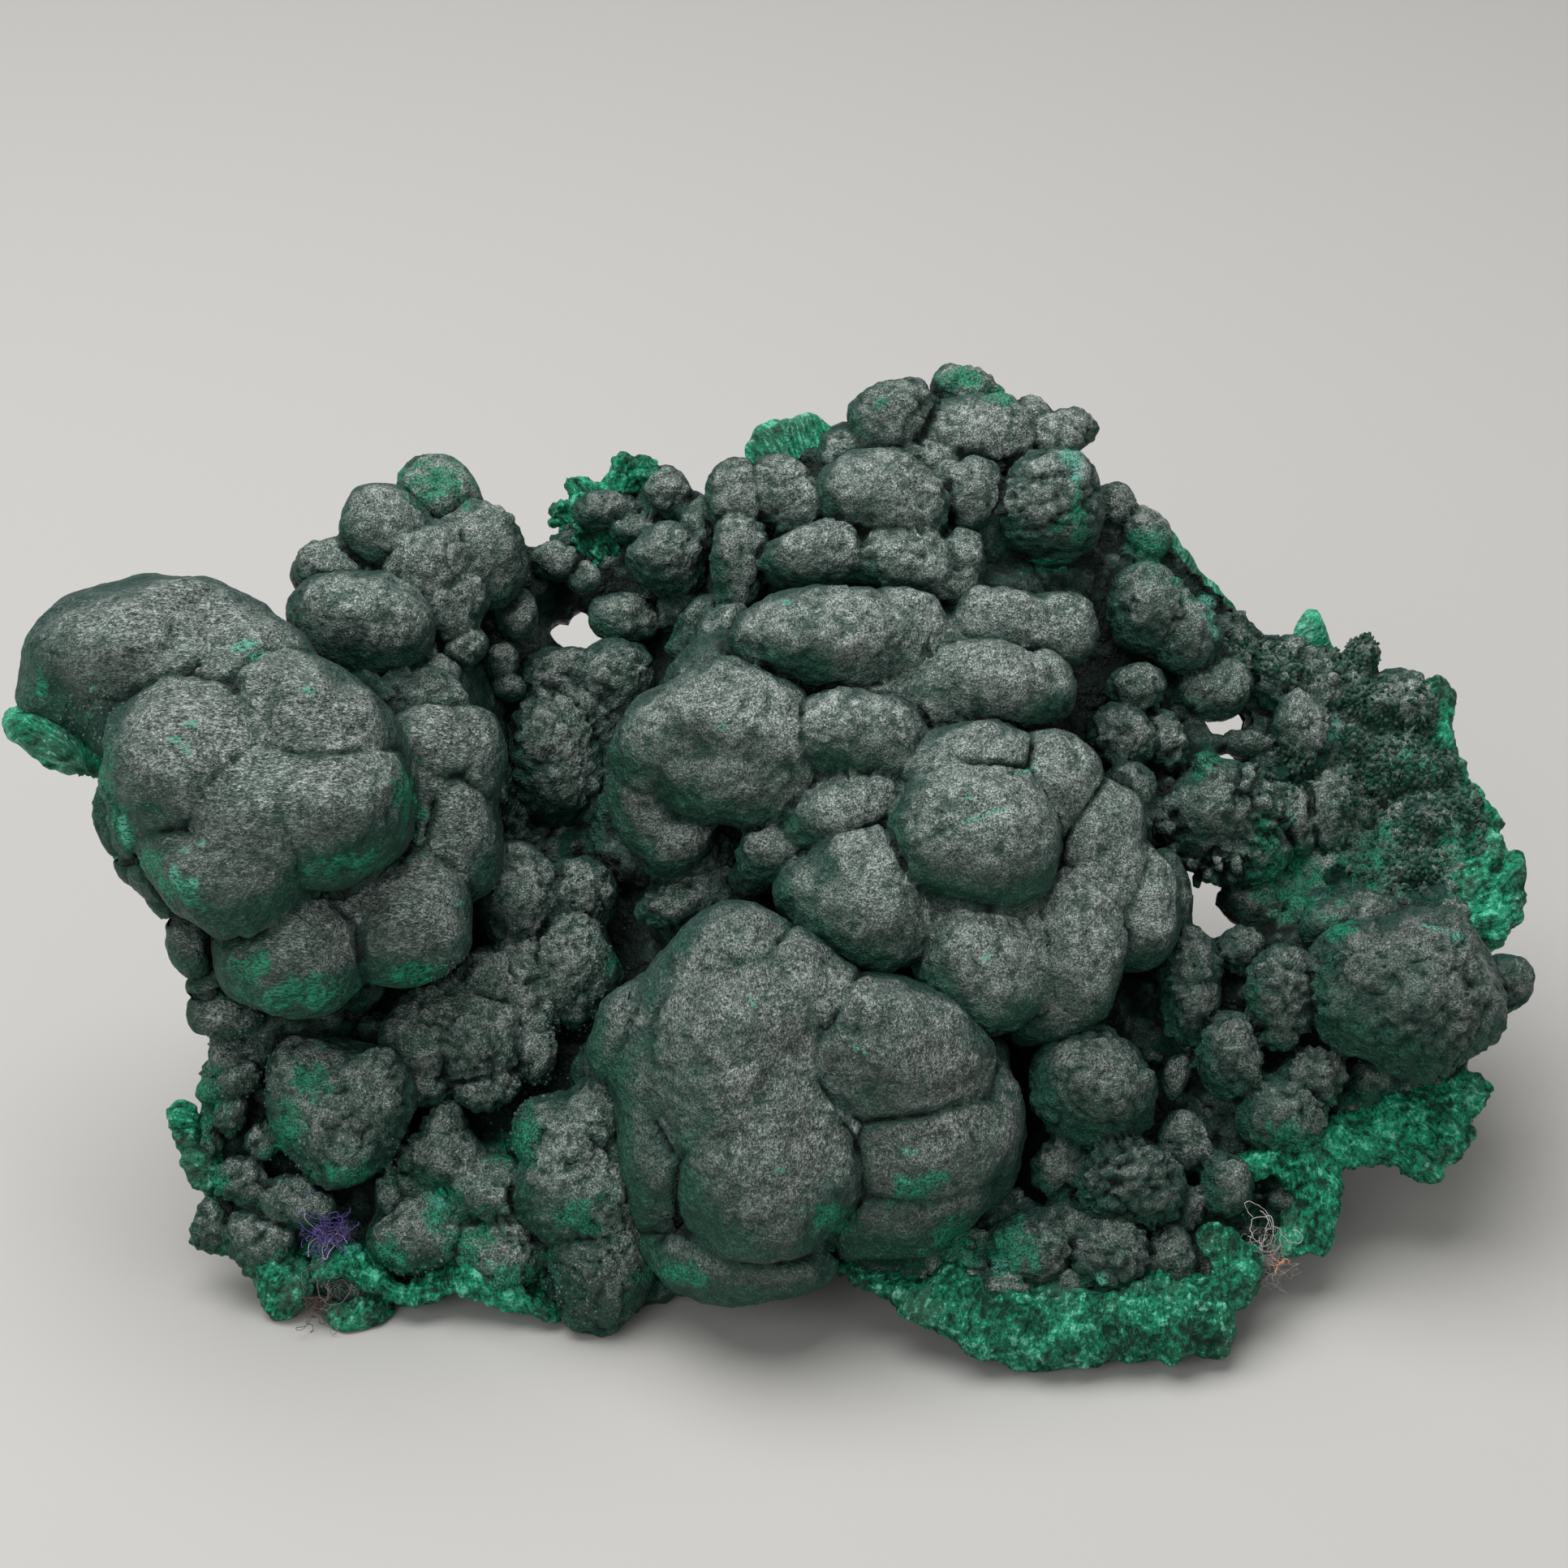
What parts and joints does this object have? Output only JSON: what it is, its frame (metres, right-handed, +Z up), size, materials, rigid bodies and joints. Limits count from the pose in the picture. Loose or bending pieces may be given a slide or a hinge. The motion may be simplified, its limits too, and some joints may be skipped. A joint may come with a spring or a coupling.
{
  "type": "velvet malachite specimen",
  "caption": "Leaning crust of velvety dark green botryoidal lobes with bright fibrous broken edges, standing on its lower edge and a lumpy rear foot.",
  "frame": {"origin": "centre of the bounding box's bottom face, on the plane of the surface it stands on", "axes": "+X to the viewer's right along the specimen's width, -Y toward the viewer and the lobed face, +Z up"},
  "size_m": [0.1963, 0.1088, 0.0911],
  "materials": {
    "malachite": "velvety nap of fine fibrous crystals, silky on the broken edges"
  },
  "bodies": {
    "root": {"malachite": "malachite"}
  },
  "joints": []
}
